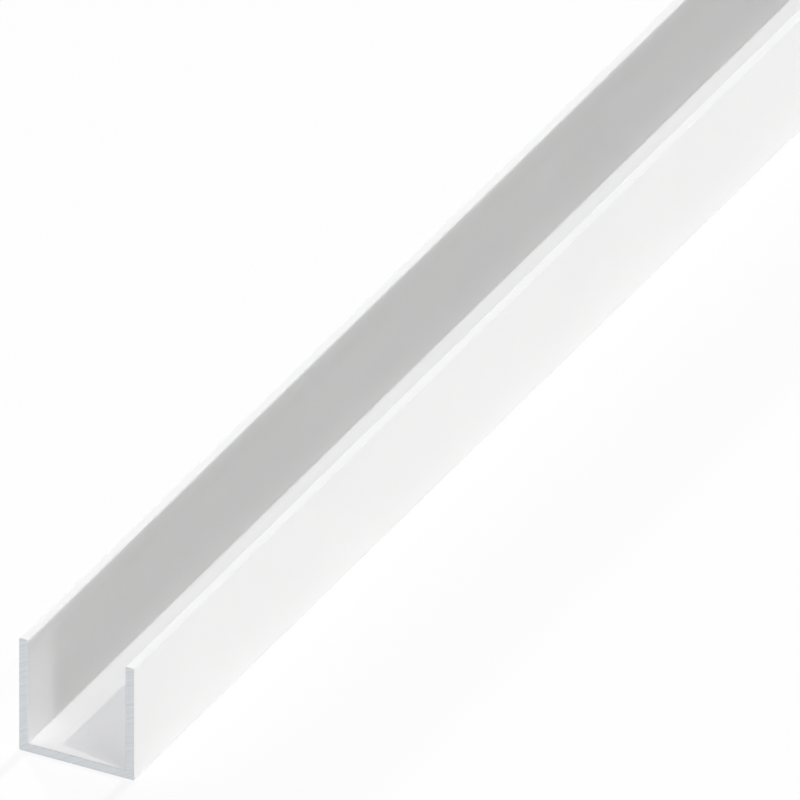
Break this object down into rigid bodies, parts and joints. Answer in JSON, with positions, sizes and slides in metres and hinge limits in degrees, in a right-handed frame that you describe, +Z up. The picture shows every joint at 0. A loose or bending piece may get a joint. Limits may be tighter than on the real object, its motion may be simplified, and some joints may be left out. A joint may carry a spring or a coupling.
{
  "type": "metal u-channel section",
  "caption": "Straight white-coated aluminium U-channel bar with square flanges and an open slot along its length, for edging, framing or holding a panel.",
  "frame": {"origin": "middle of the web's underside, at half the bar's length", "axes": "+Y along the bar, +Z up the flanges out of the open side, +X across the section"},
  "size_m": [0.02, 1, 0.02],
  "materials": {
    "white_coat": "satin"
  },
  "bodies": {
    "root": {"u_channel": "white_coat"}
  },
  "joints": []
}
